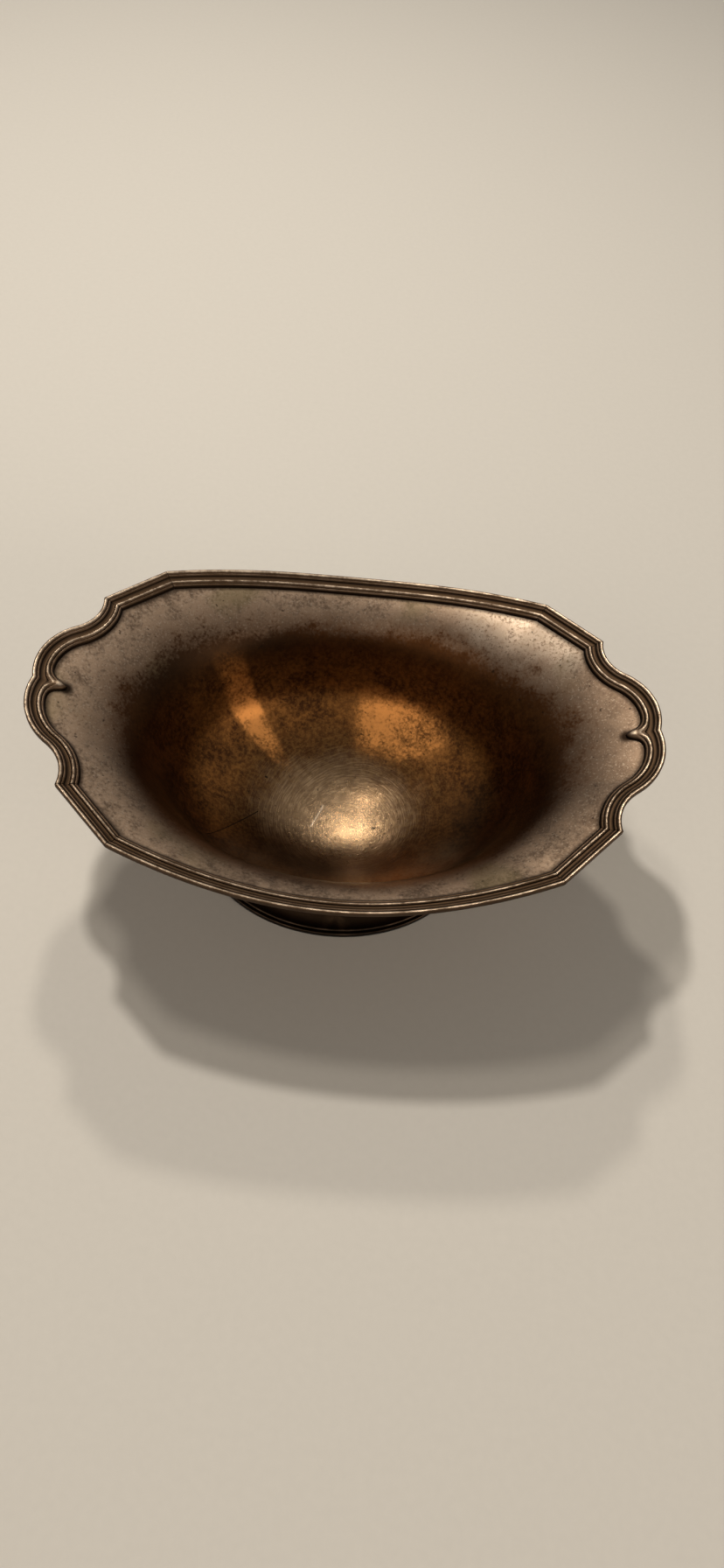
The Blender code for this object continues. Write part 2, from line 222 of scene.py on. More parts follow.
GROUPS = {
    "bowl_rim": RimSizes,
    "bowl_mount": MountSizes,
    "bowl_body": BodySizes,
    "bowl_foot": FootSizes,
    "bowl_finish": Finish,
    "bowl_fineness": Fineness,
}


# ---- Shader nodes ----


class Socket:
    """An output of a shader node. Sums written with it add their Math nodes."""

    def __init__(self, nodes, link):
        self.nodes = nodes
        self.link = link

    def output(self, name):
        """Another output of the same node."""
        return Socket(self.nodes, self.link.node.outputs[name])

    def maths(self, operation, first, second):
        return self.nodes.node("Math", {"operation": operation}, {0: first, 1: second})

    def __add__(self, other):
        return self.maths("ADD", self, other)

    def __sub__(self, other):
        return self.maths("SUBTRACT", self, other)

    def __rsub__(self, other):
        return self.maths("SUBTRACT", other, self)

    def __mul__(self, other):
        return self.maths("MULTIPLY", self, other)

    __radd__ = __add__
    __rmul__ = __mul__

    def larger(self, other):
        """The larger of this and another."""
        return self.maths("MAXIMUM", self, other)

    def between(self, low, high):
        """Rises smoothly from 0 to 1 as this goes from low to high."""
        return self.nodes.node(
            "MapRange", {"interpolation_type": "SMOOTHSTEP"}, {"Value": self, 1: low, 2: high}
        )

    def mix(self, first, second):
        """The first colour where this is 0 and the second where it is 1."""
        return self.nodes.node(
            "Mix", {"data_type": "RGBA"}, {0: self, 6: rgba(first), 7: rgba(second)}, output=2
        )


def rgba(value):
    """A colour as its socket wants it, or the link that gives it."""
    return value if isinstance(value, Socket) else (*value, 1.0)


class Nodes:
    """The nodes of one material or world, empty at first."""

    def __init__(self, owner):
        owner.use_nodes = True
        self.tree = owner.node_tree
        self.tree.nodes.clear()

    def node(self, kind, settings=None, sockets=None, output=0):
        """Adds a node: its type, its settings, then the values or links of its sockets."""
        made = self.tree.nodes.new("ShaderNode" + kind)
        for name, value in (settings or {}).items():
            setattr(made, name, value)
        for name, value in (sockets or {}).items():
            if isinstance(value, Socket):
                self.tree.links.new(value.link, made.inputs[name])
            else:
                made.inputs[name].default_value = value
        return Socket(self, made.outputs[output]) if made.outputs else None

    def vector(self, operation, first, second=(0, 0, 0), output=0):
        """Adds a Vector Math node."""
        return self.node("VectorMath", {"operation": operation}, {0: first, 1: second}, output)

    def place(self):
        """A point of the surface, in metres."""
        return self.node("TexCoord", output="Object")

    def plan(self):
        """A point of the surface in plan, in metres."""
        return self.vector("MULTIPLY", self.place(), (1, 1, 0))

    def noise(self, size, detail=3.0, roughness=0.5, distortion=0.0, place=None):
        """Cloudy noise from 0 to 1 whose clouds are about size metres across."""
        return self.node(
            "TexNoise",
            sockets={
                "Vector": place or self.place(),
                "Scale": 1 / size,
                "Detail": detail,
                "Roughness": roughness,
                "Distortion": distortion,
            },
        )

    def attribute(self, name):
        """A number that the mesh holds at each point."""
        return self.node("Attribute", {"attribute_name": name}, output="Fac")

    def metal(self, tint, roughness, height, depth):
        """Joins a metal surface to the output, with a bump of the given depth in metres."""
        bump = self.node("Bump", sockets={"Height": height, "Distance": depth})
        shader = self.node(
            "BsdfPrincipled",
            sockets={"Base Color": tint, "Roughness": roughness, "Metallic": 1.0, "Normal": bump},
        )
        self.node("OutputMaterial", sockets={"Surface": shader})


# ---- Finishes ----

# Soft spots on the well's wall: bearing from +X and spread, in degrees, and where each starts
# and ends, as shares of the way down
# The copper streak and patch: copper showing through, and also a painted reflection of light on the
# back walls
COPPER_STREAK_AND_GLINT = (139, 8, 0.14, 0.92)
COPPER_PATCH_AND_GLINT = (60, 32, 0.36, 0.86)
# Painted reflection: the next spot lightens the lowest front wall to pale gold.
PAINTED_FRONT_REFLECTION = (-86, 75, 0.20, 0.90)
# Painted shade: the next two spots are turned black where the back-left and right walls show dark
# reflections.
PAINTED_SHADE_BACK = (142, 42, 0.02, 0.36)
PAINTED_SHADE_SIDE = (-18, 42, 0.30, 0.95)

PAINTED_SHADE_END = (0.085, 0.125)  # distances along the bowl between which its flange is darkened towards the right end, as painted shade

# Wiping scratches in the well
WIPED_CENTRE = (0.008, -0.002, 0)  # round which the scratches of the floor run
ARC_BREAKS = 4  # breaks of such a scratch for each radian that it turns
ARC_WIDTH = 0.0006
SCRATCH_LENGTH = 0.05
SCRATCH_THINNESS = 40  # length of a straight scratch over its width
SCRATCH_ANGLES = (0.3, 1.4, 2.5)  # directions of the straight ones, in radians

# Sizes of the clouds and specks of tarnish, in metres
COARSE_CLOUDS = 0.030
MEDIUM_CLOUDS = 0.0085
FINE_CLOUDS = 0.0016
WALL_CLOUDS = 0.014
WALL_SPECKS = 0.0022
FLANGE_DUST = 0.0011
FLANGE_FILM = 0.045
PITS = 0.0026

# Depths of the relief in each finish, in metres
BODY_RELIEF = 0.0012
UNDERSIDE_RELIEF = 0.0010
MOUNT_RELIEF = 0.0006
FOOT_RELIEF = 0.0008

# Marks in plan: where each starts and ends, and how wide it is
PALE_SCRATCH = ((-0.0148, -0.0048), (-0.0089, 0.0101), 0.0006)
# A rubbed band on the flange at the back right, painted lighter as the flange's highlight as well.
FLANGE_POLISH_AND_HIGHLIGHT = ((0.078, 0.080), (0.104, 0.065), 0.032)
DARK_MARKS_AND_NOTCH_SHADE = (
    ((0.0199, -0.0029), (0.0205, -0.0029), 0.0013),
    ((-0.0420, 0.0185), (-0.0414, 0.0185), 0.0008),
    ((-0.0670, -0.0340), (-0.0440, -0.0038), 0.0004),
    # Painted shade: these two marks darken the flange round the curled point at each notch.
    ((-0.1430, 0), (-0.1365, 0), 0.0052),
    ((0.1430, 0), (0.1365, 0), 0.0052),
)


def scratches(nodes, angle):
    """Fine wiping scratches that run one way, 1 along a scratch and 0 between them."""
    turned = nodes.node(
        "VectorRotate", {"rotation_type": "Z_AXIS"}, {"Vector": nodes.plan(), "Angle": angle}
    )
    drawn = nodes.vector("MULTIPLY", turned, (1, SCRATCH_THINNESS, 1))
    return nodes.noise(SCRATCH_LENGTH, 2.0, 0.6, place=drawn).between(0.60, 0.72)


def arcs(nodes):
    """Fine scratches that run round the floor, as a hand that wipes a bowl leaves."""
    away = nodes.vector("SUBTRACT", nodes.plan(), WIPED_CENTRE)
    radius = nodes.vector("LENGTH", away, output=1)
    along = nodes.node("SeparateXYZ", sockets={0: away})
    turn = along.maths("ARCTAN2", along.output("Y"), along)
    unrolled = nodes.node("CombineXYZ", sockets={0: radius, 1: turn * (ARC_WIDTH * ARC_BREAKS)})
    return nodes.noise(ARC_WIDTH, 3.0, 0.7, 0.3, unrolled).between(0.44, 0.66)


def near_line(nodes, start, end, width):
    """1 on a short straight mark in plan and 0 beside it."""
    along = Vector((*end, 0)) - Vector((*start, 0))
    away = nodes.vector("SUBTRACT", nodes.plan(), (*start, 0))
    part = nodes.vector("DOT_PRODUCT", away, along / along.length_squared, 1)
    part = part.maths("MINIMUM", part.larger(0), 1)
    foot = nodes.node("VectorMath", {"operation": "SCALE"}, {0: along, "Scale": part})
    gap = nodes.vector("DISTANCE", away, foot, 1)
    return 1 - gap.between(width / 3, width)


def wall_spot(nodes, depth, bearing, width, top, bottom):
    """1 on a soft spot of the well's wall, round a bearing and between two depths."""
    outward = nodes.vector("NORMALIZE", nodes.plan())
    facing = (cos(radians(bearing)), sin(radians(bearing)), 0)
    toward = nodes.vector("DOT_PRODUCT", outward, facing, 1)
    beside = toward.between(cos(radians(width)), cos(radians(width / 4)))
    soft = (bottom - top) / 2
    return beside * depth.between(top, top + soft) * (1 - depth.between(bottom - soft, bottom))


def mottle(nodes):
    """Coarse, medium and fine clouds of tarnish."""
    coarse = nodes.noise(COARSE_CLOUDS, 4.0, 0.6, 0.4)
    medium = nodes.noise(MEDIUM_CLOUDS, 5.0, 0.65, 0.3)
    fine = nodes.noise(FINE_CLOUDS, 3.0, 0.6)
    return coarse, medium, fine


def flange_tint(nodes, finish, clouds, along, polish_and_highlight):
    """Grey-brown plate, tarnished in patches, dusty and filmed over, darkened at its right end as
    painted shade, and rubbed bright at one place that is also a painted highlight.
    """
    coarse, medium, fine = clouds
    worn = (coarse * 0.20 + medium * 0.45 + fine * 0.35).between(0.38, 0.60)
    # Painted shade: the flange is darkened towards its right end.
    shaded_end = 1 - along.between(*PAINTED_SHADE_END) * 0.65
    tint = (worn * shaded_end).mix(finish.tarnish, finish.worn)
    dust = nodes.noise(FLANGE_DUST, 2.0).between(0.54, 0.70)
    tint = (dust * 0.25).mix(tint, finish.silver)
    film = nodes.noise(FLANGE_FILM, 2.0).between(0.52, 0.70) * 0.5
    tint = film.mix(tint, finish.olive)
    # Rubbed plate at one place, also a painted highlight.
    return (polish_and_highlight * fine.between(0.30, 0.62) * 0.6).mix(tint, finish.silver)


def body_finish(nodes, finish):
    """Worn grey-brown plate on the flange, and brown, copper and rubbed gold in the well."""
    clouds = mottle(nodes)
    coarse, medium, fine = clouds
    depth = nodes.attribute("depth")
    along = nodes.node("SeparateXYZ", sockets={0: nodes.plan()})
    across = along.output("Y")
    polish_and_highlight = near_line(nodes, *FLANGE_POLISH_AND_HIGHLIGHT)

    # the walls: brown over umber; copper in two places, partly copper showing through and partly a
    # painted reflection of light; painted shade in black at two more
    grain = medium * 0.35 + coarse * 0.25 + fine * 0.40
    uneven = coarse + medium + fine - 1.5
    streak = wall_spot(nodes, depth, *COPPER_STREAK_AND_GLINT)
    patch = wall_spot(nodes, depth, *COPPER_PATCH_AND_GLINT)
    # Copper spots, partly wear and partly a painted reflection, broken up by the clouds.
    bare_and_glint = (streak.larger(patch) * (uneven * 2.0 + 1)).between(0.0, 1.0)
    bare_and_glint = bare_and_glint * (grain.between(0.36, 0.58) * 0.6 + 0.4)
    haze = nodes.noise(WALL_CLOUDS, 6.0, 0.7, 0.6).between(0.38, 0.62)
    speckle = nodes.noise(WALL_SPECKS, 4.0, 0.7).between(0.42, 0.60)
    below = depth.between(0.16, 0.40) * 0.9 + 0.1
    walls = ((haze * 0.5 + speckle * 0.5) * below).mix(finish.umber, finish.brown)
    # Painted shade: two spots of the wall turned black, standing in for dark reflections.
    painted_shade = wall_spot(nodes, depth, *PAINTED_SHADE_BACK)
    painted_shade = painted_shade.larger(wall_spot(nodes, depth, *PAINTED_SHADE_SIDE))
    walls = (painted_shade * 0.8).mix(walls, finish.black)
    well = bare_and_glint.mix(walls, finish.copper)

    # the floor: a brown film wiped in arcs; its middle rubbed pale and widened into a painted sheen
    # round the floor's highlight; the nearest wall lightened as a painted reflection
    wiped = arcs(nodes)
    floor = (wiped * 0.5 + speckle * 0.5).mix(finish.umber, finish.bronze)
    # Rubbed plate in the middle of the floor, spread wider as a painted sheen round the highlight.
    middle = (depth + (medium - 0.5) * 0.15).between(0.74, 0.97)
    floor = (middle * (0.45 + wiped * 0.55)).mix(floor, finish.gold)
    bottom = (depth + (coarse - 0.5) * 0.25).between(0.60, 0.84) * (1 - bare_and_glint) * (1 - painted_shade * 0.7)
    well = bottom.mix(well, floor)
    # Painted reflection: the front of the well lightened to pale gold, as though it showed the lit
    # floor.
    front = wall_spot(nodes, depth, *PAINTED_FRONT_REFLECTION)
    well = (front * (0.45 + grain.between(0.38, 0.60) * 0.5)).mix(well, finish.gold)

    # the whole body: an uneven line between flange and well, painted shade where the flange meets
    # the mount and round the notches, pitting and scratches
    flange = flange_tint(nodes, finish, clouds, along, polish_and_highlight)
    climb = depth + across.between(0.0, 0.09) * 0.03 + uneven * 0.16
    tint = climb.between(0.04, 0.20).mix(flange, well)
    # Painted shade: the flange blackened along the mount's inner edge.
    painted_crease_shade = 1 - depth.between(0.0, 0.010)
    tint = (painted_crease_shade * 0.8).mix(tint, finish.black)
    pits_and_notch_shade = nodes.noise(PITS, 2.0, 0.4).between(0.70, 0.76) * 0.7
    # The listed marks: pits and scratches, and painted shade at the two notches.
    for mark in DARK_MARKS_AND_NOTCH_SHADE:
        pits_and_notch_shade = pits_and_notch_shade.larger(near_line(nodes, *mark))
    tint = pits_and_notch_shade.mix(tint, finish.black)
    tint = (near_line(nodes, *PALE_SCRATCH) * 0.8).mix(tint, finish.silver)

    marks = sum(scratches(nodes, angle) for angle in SCRATCH_ANGLES)
    polished = middle * 0.07 + polish_and_highlight * 0.04 + (bottom + front) * 0.07
    roughness = medium * 0.14 + marks * 0.04 + fine * 0.10 + 0.28 - polished
    wipes = marks * 0.007 + wiped * bottom * 0.018
    height = coarse * 0.16 + medium * 0.06 + fine * 0.004 + wipes
    nodes.metal(tint, roughness, height, BODY_RELIEF)


def under_finish(nodes, finish):
    """The outside of the body: evenly dark, darker in patches."""
    coarse, medium, fine = mottle(nodes)
    tint = (coarse * 0.6 + medium * 0.4).between(0.38, 0.64).mix(finish.brown, finish.tarnish)
    roughness = medium * 0.2 + fine * 0.08 + 0.24
    nodes.metal(tint, roughness, coarse * 0.5 + medium * 0.1, UNDERSIDE_RELIEF)


def mount_finish(nodes, finish):
    """Bright rubbed crests, brown flanks, black oxide in the grooves and painted shade at the lip's
    inner corner and on the inner step.
    """
    coarse, medium, fine = mottle(nodes)
    crest = nodes.attribute("crest")
    rubbed = (crest + (medium - 0.5) * 0.5 + (fine - 0.5) * 0.25).between(0.78, 1.10)
    flank = (coarse * 0.4 + medium * 0.4 + fine * 0.2).between(0.40, 0.64)
    flank = (flank * crest.between(0.2, 0.7)).mix(finish.soot, finish.tarnish)
    tint = rubbed.mix(flank, finish.reeds)
    # Black oxide in the grooves, and painted shade on the inner step and at the lip's inner corner.
    groove_oxide_and_step_shade = 1 - (crest + (medium - 0.5) * 0.15).between(0.05, 0.30)
    tint = groove_oxide_and_step_shade.mix(tint, finish.black)
    roughness = 0.44 - rubbed * 0.16 + fine * 0.08
    nodes.metal(tint, roughness, coarse * 0.3 + medium * 0.12, MOUNT_RELIEF)


def foot_finish(nodes, finish):
    """Blackened plate, darkened further as painted shade, with a rubbed edge."""
    coarse, medium, fine = mottle(nodes)
    crest = nodes.attribute("crest")
    # Near-black plate, darkened as painted shade for the shadow the foot stands in.
    painted_shade = (coarse * 0.5 + medium * 0.5).between(0.50, 0.80).mix(finish.black, finish.soot)
    rubbed = (crest + (medium - 0.5) * 0.6).between(0.8, 1.3)
    tint = rubbed.mix(painted_shade, finish.tarnish)
    roughness = medium * 0.2 + fine * 0.06 + 0.28
    nodes.metal(tint, roughness, coarse * 0.4 + medium * 0.1, FOOT_RELIEF)


FINISHES = {
    "tarnished_body": body_finish,
    "dark_underside": under_finish,
    "reeded_mount": mount_finish,
    "dark_and_shaded_foot": foot_finish,
}


def finish_of(name):
    """The material of one kind of surface, made once."""
    material = bpy.data.materials.get(name)
    if material is None:
        material = bpy.data.materials.new(name)
        FINISHES[name](Nodes(material), bpy.context.scene.bowl_finish)
    return material


# ---- Meshes ----

SHARP_DEGREES = 50  # an edge that turns more than this is drawn sharp


def mirrored(point, side_x, side_y):
    """A point of one quarter of the bowl, moved to another quarter."""
    return Vector((point[0] * side_x, point[1] * side_y, point[2]))


def loft(name, loops, closed_loops, closed_path, marks, mark_name, middle=None):
    """A mesh through a row of loops of points, with a row of marks for each loop.

    Open loops that run inwards face up when they follow each other clockwise, and so do
    loops that run outwards counterclockwise. A middle point closes their ends with a fan.
    """
    shape = bmesh.new()
    rows = [[shape.verts.new(point) for point in loop] for loop in loops]
    count = len(loops[0])
    pairs = list(zip(rows, rows[1:]))
    if closed_path:
        pairs.append((rows[-1], rows[0]))
    for near, far in pairs:
        for here in range(count if closed_loops else count - 1):
            after = (here + 1) % count
            shape.faces.new((near[here], near[after], far[after], far[here]))
    if closed_loops and not closed_path:
        shape.faces.new(rows[0])
        shape.faces.new(rows[-1])
    if middle is not None:
        centre = shape.verts.new(middle)
        for near, far in pairs:
            shape.faces.new((near[-1], centre, far[-1]))
    if closed_loops:
        bmesh.ops.recalc_face_normals(shape, faces=shape.faces)
    mesh = bpy.data.meshes.new(name)
    shape.to_mesh(mesh)
    shape.free()
    values = [mark for row in marks for mark in row]
    if middle is not None:
        values.append(marks[-1][-1])
    layer = mesh.attributes.new(mark_name, "FLOAT", "POINT")
    layer.data.foreach_set("value", values)
    return mesh


def add_object(name, data):
    """Puts a mesh, a lamp or a camera in the scene."""
    item = bpy.data.objects.new(name, data)
    bpy.context.scene.collection.objects.link(item)
    return item


def add_piece(name, mesh, finishes, node):
    """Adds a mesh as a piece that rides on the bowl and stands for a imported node."""
    for finish in finishes:
        mesh.materials.append(finish_of(finish))
    mesh.shade_smooth()
    mesh.set_sharp_from_angle(angle=radians(SHARP_DEGREES))
    piece = add_object(name, mesh)
    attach(piece, "root")
    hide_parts(node)
    return piece


def add_sheet(piece, thickness, back_material=0):
    """Gives an open surface its thickness, on its back."""
    solidify = piece.modifiers.new("sheet", "SOLIDIFY")
    solidify.thickness = thickness
    solidify.offset = -1
    solidify.use_even_offset = True
    solidify.use_quality_normals = True
    solidify.material_offset = back_material


# ---- The rim's outline ----


class Outline:
    """One quarter of the rim in plan and height, worked out from its sizes."""

    def __init__(self, rim, mount):
        self.sizes = rim
        self.mount = mount
        self.half_width = rim.width / 2
        self.corner = Vector((rim.length / 2 - rim.corner_back, self.half_width - rim.corner_in))
        self.step = Vector((rim.length / 2 - rim.step_back, self.half_width - rim.step_in))
        self.corner_run = (self.step - self.corner).normalized()
        self.corner_inward = Vector((self.corner_run.y, -self.corner_run.x))
        self.side_radius = (self.corner.x**2 + rim.corner_in**2) / (2 * rim.corner_in)
        self.side_centre = Vector((0, self.half_width - self.side_radius))
        self.lobe_centre = Vector((rim.length / 2 - rim.lobe_radius, rim.lobe_y))
        self.hollow_centre = self.find_hollow_centre()
        self.notch_x = self.point("lobe", 1, 0).x

    def find_hollow_centre(self):
        """Centre of the hollow, which passes the step and runs smoothly into the lobe."""
        across = self.step - self.lobe_centre
        hollow = self.sizes.hollow_radius
        reach = self.sizes.lobe_radius + hollow
        along = (reach**2 - hollow**2 + across.length_squared) / (2 * across.length)
        aside = sqrt(reach**2 - along**2)
        forward = across.normalized()
        return self.lobe_centre + forward * along + Vector((forward.y, -forward.x)) * aside

    def on_corner_line(self, centre, radius, inset, near):
        """Where the inset corner line crosses a circle, at the crossing nearest to a point."""
        start = self.corner + self.corner_inward * inset - centre
        middle = -start.dot(self.corner_run)
        half = sqrt(middle**2 - start.length_squared + radius**2)
        crossings = [centre + start + self.corner_run * (middle + way * half) for way in (-1, 1)]
        return min(crossings, key=lambda point: (point - near).length)

    def run(self, run, inset):
        """Start, end and arc centre of one run of the quarter."""
        side_radius = self.side_radius - inset
        corner = self.on_corner_line(self.side_centre, side_radius, inset, self.corner)
        hollow_radius = self.sizes.hollow_radius + inset
        step = self.on_corner_line(self.hollow_centre, hollow_radius, inset, self.step)
        toward_hollow = (self.hollow_centre - self.lobe_centre).normalized()
        lobe_radius = self.sizes.lobe_radius - inset
        bend = self.lobe_centre + toward_hollow * lobe_radius
        notch_reach = sqrt(lobe_radius**2 - self.sizes.lobe_y**2)
        notch = Vector((self.lobe_centre.x + notch_reach, 0))
        return {
            "side": (Vector((0, self.half_width - inset)), corner, self.side_centre),
            "corner": (corner, step, None),
            "hollow": (step, bend, self.hollow_centre),
            "lobe": (bend, notch, self.lobe_centre),
        }[run]

    def point(self, run, place, inset):
        """Plan point at a share of one run, inset from the rim's outer edge."""
        start, end, centre = self.run(run, inset)
        if centre is None:
            return start.lerp(end, place)
        first = atan2(*(start - centre).yx)
        turn = remainder(atan2(*(end - centre).yx) - first, 2 * pi)
        angle = first + turn * place
        return centre + Vector((cos(angle), sin(angle))) * (start - centre).length

    def run_length(self, run):
        """Straight distance between the two ends of a run."""
        start, end, _ = self.run(run, 0)
        return (end - start).length

    def edge_height(self, x):
        """Height of the body's top face at the rim's edge: low at the sides, high at the ends."""

        def saddle(distance):
            return hypot(1, distance / self.sizes.saddle_bend) - 1

        rise = (self.sizes.end_height - self.sizes.side_height) * saddle(x) / saddle(self.notch_x)
        crest_drop = self.mount.slope * self.mount.width * self.mount.crest
        return self.sizes.side_height + rise - self.mount.reed + crest_drop

    def flange_height(self, body, end_share):
        """Height of the ring inside the flange, which meets its slope at ends and sides."""
        slope = self.mount.slope
        end = self.edge_height(self.notch_x) - slope * (self.notch_x - body.flange_length / 2)
        side = self.edge_height(0) - slope * (self.sizes.width - body.flange_width) / 2
        return side + (end - side) * end_share

    def notch_dip(self, run, place, dip):
        """How far the body dips under the mount between two lobes."""
        outer = self.point(run, place, 0)
        beside_notch = run == "lobe" and outer.y < self.sizes.lobe_y
        return dip * (self.sizes.length / 2 - outer.x) if beside_notch else 0


def outline(scene):
    """The rim's outline at the sizes that the scene holds."""
    return Outline(scene.bowl_rim, scene.bowl_mount)


def spread(count, first=0.0, last=1.0):
    """Even steps from first to last, both included."""
    return [first + (last - first) * step / count for step in range(count + 1)]


# ---- The mount ----

CURL_LEAVE = 0.75  # share of the way to the long axis that a curling reed starts out straight
CURL_ARRIVE = 0.30  # share of the point's reach over which a reed rounds off to its tip
CURL_GRADE = 1.5  # how much later the outer reeds end than the inmost one
CURL_OUTER = 0.5  # share of the curling reeds, from outside, that curl only in part

# Reeds and hollows over the mount, from outside in: where each ends, as a share of the
# mount's width, its crest and its foot, as shares of the reed height, and how rubbed its crest is
MOUNT_RUNS = (
    (0.235, 0.94, 0.52, 1.00),
    (0.370, 0.90, 0.56, 0.70),
    (0.600, 0.26, 0.56, 0.30),
    (0.815, 1.08, 0.58, 0.95),
    (0.945, 0.84, 0.58, 0.75),
)
CREST_NARROW = 1.5  # power that narrows the rubbed line along a crest
FACE_RUBBED = 0.45  # how rubbed the outer face is
FACE_TOP = 0.45  # height of the outer face, as a share of the reed height
STEP_TOP = 0.30  # height of the inner face

LEAF_FROM = 0.78  # share of a lobe after which its inner reeds swell into a leaf
LEAF_EDGE = 0.62  # share of the mount's width from which they do
LEAF_FOOT = MOUNT_RUNS[2][2]  # height of the leaf's outer edge, as a share of the reed height
LEAF_TOP = 0.80  # swell of the leaf over its edges, as a share of the reed height
LEAF_LEAN = 1.5  # power that moves the leaf's ridge towards its inner edge
LEAF_SHOULDER = 0.6  # power that makes the leaf's back fuller than a sine


def mount_profile(steps):
    """Points over the reeds: inset and height as shares, and how rubbed each point is."""
    points = []
    start = 0.0
    foot = FACE_TOP
    for end, crest, next_foot, shine in MOUNT_RUNS:
        for step in range(steps):
            along = step / steps
            swell = sin(pi * along)
            base = foot + (next_foot - foot) * along
            place = start + (end - start) * (1 - cos(pi * along)) / 2
            height = base + (crest - (foot + next_foot) / 2) * swell
            rubbed = shine * swell**CREST_NARROW
            if start == 0:
                rubbed = max(rubbed, FACE_RUBBED * (1 - along))
            points.append((place, height, rubbed))
        start = end
        foot = next_foot
    points.append((start, foot, 0.0))
    points.append((1.0, STEP_TOP, 0.0))
    return points


def leaf_share(run, place):
    """0 along the rim and 1 at the notch, where the curled reeds are one leaf."""
    along = max(0, (place - LEAF_FROM) / (1 - LEAF_FROM)) if run == "lobe" else 0
    return along * along * (3 - 2 * along)


def leafed(profile, leaf):
    """The profile with its inner reeds swollen by a share into a rounded, rubbed leaf."""
    points = []
    for width, height, rubbed in profile:
        across = max(0, (width - LEAF_EDGE) / (1 - LEAF_EDGE))
        swell = sin(pi * across**LEAF_LEAN) ** LEAF_SHOULDER if across < 1 else 0
        foot = LEAF_FOOT + (STEP_TOP - LEAF_FOOT) * across
        if across > 0:
            height += (foot + LEAF_TOP * swell - height) * leaf
            rubbed = max(rubbed, swell * leaf)
        points.append((width, height, rubbed))
    return points


def curled_point(rim, place, inset):
    """Plan point of a reed on a lobe: at the notch the inner reeds bend in to a point."""
    mount = rim.mount
    plain = rim.point("lobe", place, inset)
    bend = (inset - mount.point_from) / (mount.width - mount.point_from)
    if place <= mount.curl_from or bend <= 0:
        return plain
    start = rim.point("lobe", mount.curl_from, inset)
    tip = rim.point("lobe", 1, inset) - Vector((mount.point_reach * bend**CURL_GRADE, 0))
    leave = start - Vector((0, CURL_LEAVE * start.y))
    arrive = tip + Vector((CURL_ARRIVE * mount.point_reach, mount.point_width / 2)) * bend
    along = (place - mount.curl_from) / (1 - mount.curl_from)
    back = 1 - along
    curl = (
        start * back**3
        + leave * (3 * back**2 * along)
        + arrive * (3 * back * along**2)
        + tip * along**3
    )
    return plain.lerp(curl, min(1, bend / CURL_OUTER))


def mount_section(rim, sheet, profile, run, place):
    """The closed loop of the mount's section, from its lip over the reeds, and its marks."""
    mount = rim.mount
    rim_height = rim.edge_height(rim.point(run, place, 0).x)

    def put(inset, height):
        point = rim.point(run, place, inset)
        depth = inset
        if run == "lobe":
            point = curled_point(rim, place, inset)
            depth = rim.sizes.lobe_radius - (point - rim.lobe_centre).length
        return Vector((*point, rim_height - mount.slope * depth + height))

    underside = -sheet * hypot(1, mount.slope)
    profile = leafed(profile, leaf_share(run, place))
    loop = [put(mount.lip, 0), put(mount.lip, underside), put(0, underside)]
    loop += [put(mount.width * width, mount.reed * height) for width, height, _ in profile]
    loop.append(put(mount.width, 0))
    # Marks of 0 at the lip and the inner step become painted shade in the mount's finish.
    marks = [0.0, FACE_RUBBED, FACE_RUBBED, *(rubbed for _, _, rubbed in profile), 0.0]
    return loop, marks


def mount_sections(scene, run, places):
    """Sections of the mount along one run, each a loop and its marks."""
    rim = outline(scene)
    profile = mount_profile(scene.bowl_fineness.reed)
    sheet = scene.bowl_body.sheet
    return [mount_section(rim, sheet, profile, run, place) for place in places]


def mount_piece(name, node, sections, side_x, side_y):
    """One length of the mount, through its sections as mirrored to one quarter."""
    loops = [[mirrored(point, side_x, side_y) for point in loop] for loop, _ in sections]
    marks = [row for _, row in sections]
    mesh = loft(name, loops, True, False, marks, "crest")
    add_piece(name, mesh, ["reeded_mount"], node)


def quarter_pieces(kind, quarter):
    """Four lengths of the mount that mirror each other, through the sections of one of them."""
    for depth, side_y in SIDES:
        for hand, side_x in HANDS:
            place = f"{kind}_{depth}_{hand}"
            mount_piece(f"reeded_{place}", f"rim_{place}", quarter, side_x, side_y)


class BOWL_OT_rim_sides(Operator):
    """Builds the two long lengths of the mount."""

    bl_idname = "bowl.rim_sides"
    bl_label = "Rim sides"

    def execute(self, context):
        scene = context.scene
        last = 1 - GAP / 2 / outline(scene).run_length("side")
        half = mount_sections(scene, "side", spread(scene.bowl_fineness.side, 0, last))
        left = [([mirrored(point, -1, 1) for point in loop], row) for loop, row in half[:0:-1]]
        for depth, side_y in SIDES:
            place = f"side_{depth}"
            mount_piece(f"reeded_{place}", f"rim_{place}", left + half, 1, side_y)
        return {"FINISHED"}


class BOWL_OT_rim_corners(Operator):
    """Builds the four straight lengths between mitres."""

    bl_idname = "bowl.rim_corners"
    bl_label = "Rim corners"

    def execute(self, context):
        scene = context.scene
        setback = GAP / 2 / outline(scene).run_length("corner")
        places = spread(scene.bowl_fineness.corner, setback, 1 - setback)
        quarter_pieces("corner", mount_sections(scene, "corner", places))
        return {"FINISHED"}


class BOWL_OT_rim_scrolls(Operator):
    """Builds the four lengths that curl into the points at the notches."""

    bl_idname = "bowl.rim_scrolls"
    bl_label = "Rim scrolls"

    def execute(self, context):
        scene = context.scene
        setback = GAP / 2 / outline(scene).run_length("hollow")
        hollow = spread(scene.bowl_fineness.hollow, setback, 1)
        quarter = mount_sections(scene, "hollow", hollow[:-1])
        quarter += mount_sections(scene, "lobe", spread(scene.bowl_fineness.lobe))
        quarter_pieces("scroll", quarter)
        return {"FINISHED"}


# ---- The body ----


